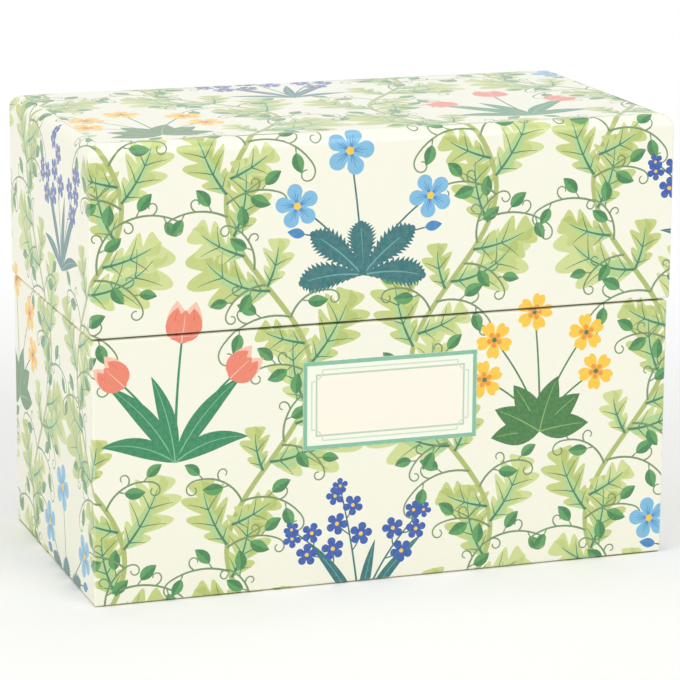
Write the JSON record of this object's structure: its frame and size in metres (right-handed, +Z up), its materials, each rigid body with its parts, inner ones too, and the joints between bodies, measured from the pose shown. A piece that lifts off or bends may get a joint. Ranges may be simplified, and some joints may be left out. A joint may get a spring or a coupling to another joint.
{
  "type": "index card box",
  "caption": "Rigid paper-covered card box with a deep hinged lid that closes over an inner neck, and a label on the front.",
  "frame": {"origin": "middle of the underside, on the table", "axes": "+X to the right seen from the front, +Y towards the hinge at the back, +Z up"},
  "size_m": [0.169, 0.0898, 0.1275],
  "materials": {
    "printed_paper": "satin",
    "label_paper": "satin",
    "plain_paper": "matte",
    "lining_paper": "matte",
    "stay_paper": "matte",
    "greyboard": "matte",
    "hinge_cloth": "matte"
  },
  "bodies": {
    "base": {"base_bottom_board": "greyboard", "base_front_board": "greyboard", "base_back_board": "greyboard", "base_left_board": "greyboard", "base_right_board": "greyboard", "base_corner_stays": "stay_paper", "base_wrap": "printed_paper", "base_underside_paper": "plain_paper", "neck_front_board": "greyboard", "neck_left_board": "greyboard", "neck_right_board": "greyboard", "neck_paper": "lining_paper", "floor_paper": "lining_paper", "back_lining": "lining_paper", "front_label": "label_paper", "hinge_cloth_lower": "hinge_cloth"},
    "lid": {"lid_top_board": "greyboard", "lid_front_board": "greyboard", "lid_back_board": "greyboard", "lid_left_board": "greyboard", "lid_right_board": "greyboard", "lid_corner_stays": "stay_paper", "lid_wrap": "printed_paper", "lid_wall_lining": "lining_paper", "lid_ceiling_paper": "lining_paper", "hinge_cloth_upper": "hinge_cloth"}
  },
  "joints": [
    {"name": "lid_hinge", "type": "hinge", "parent": "base", "child": "lid", "pos_m": [0, 0.04485, 0.0747], "axis": [-1, 0, 0], "range_deg": [0, 175]}
  ]
}
